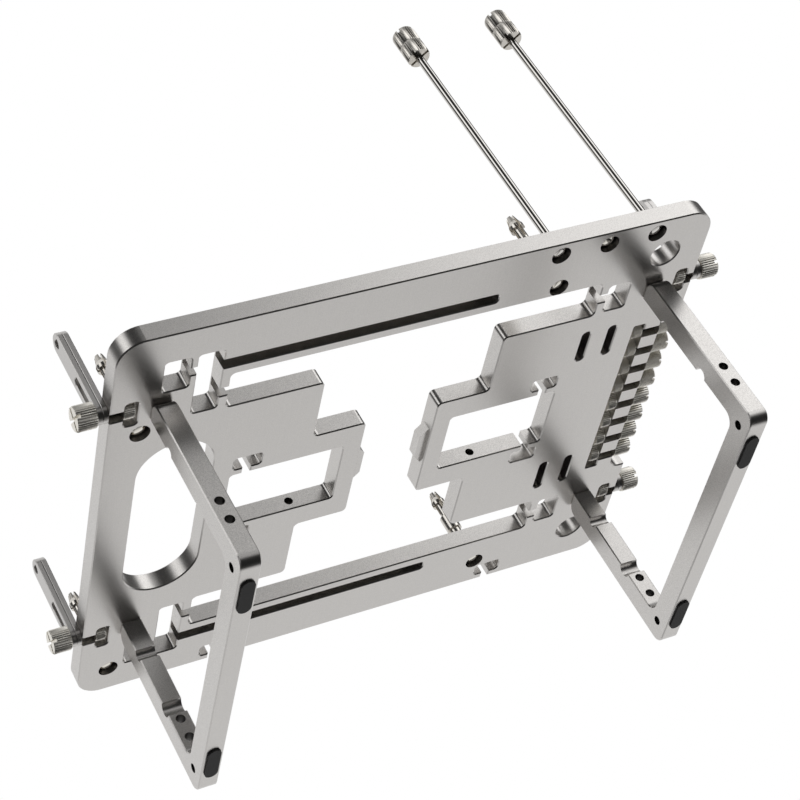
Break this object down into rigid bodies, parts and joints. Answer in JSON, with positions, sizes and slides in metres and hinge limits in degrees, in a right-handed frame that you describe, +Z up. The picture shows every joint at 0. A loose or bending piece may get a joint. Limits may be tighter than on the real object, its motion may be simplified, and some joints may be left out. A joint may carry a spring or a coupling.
{
  "type": "open air test bench",
  "caption": "Slotted metal plate on two U legs, with board standoffs, upright rods and clamp arms, for running a bare computer board in the open.",
  "frame": {"origin": "on the floor, under the centre of the base plate's outline", "axes": "+X to the comb side with the screw row, +Y to the back edge with the two open T slots, +Z up"},
  "size_m": [0.252, 0.19, 0.1965],
  "materials": {
    "anodised_aluminium": "blasted and anodised, warm mid grey",
    "arm_plate": "fine blasted, grey",
    "nickel": "nickel plated, knurled or turned",
    "rod_steel": "drawn bright rod",
    "rubber": "matt black"
  },
  "bodies": {
    "root": {"base_plate": "anodised_aluminium", "left_leg": "anodised_aluminium", "right_leg": "anodised_aluminium", "foot_left_front": "rubber", "foot_left_back": "rubber", "foot_right_front": "rubber", "foot_right_back": "rubber", "standoff_left_front": "nickel", "standoff_left_back": "nickel", "standoff_right_front": "nickel", "standoff_right_back": "nickel", "board_screws": "nickel", "spare_screw": "nickel", "rod_inner": "rod_steel", "rod_outer": "rod_steel", "rod_nut_inner_lower": "nickel", "rod_nut_inner_upper": "nickel", "rod_nut_outer_lower": "nickel", "rod_nut_outer_upper": "nickel", "arm_left_front_inner": "arm_plate", "arm_left_front_outer": "arm_plate", "arm_left_back_inner": "arm_plate", "arm_left_back_outer": "arm_plate", "arm_right_front_inner": "arm_plate", "arm_right_front_outer": "arm_plate", "arm_right_back_inner": "arm_plate", "arm_right_back_outer": "arm_plate", "clamp_screw_left_front": "nickel", "clamp_screw_left_back": "nickel", "clamp_screw_right_front": "nickel", "clamp_screw_right_back": "nickel", "clamp_nut_left_front": "nickel", "clamp_nut_left_back": "nickel", "clamp_nut_right_front": "nickel", "clamp_nut_right_back": "nickel", "comb_screws": "nickel", "comb_nuts": "nickel"}
  },
  "joints": []
}
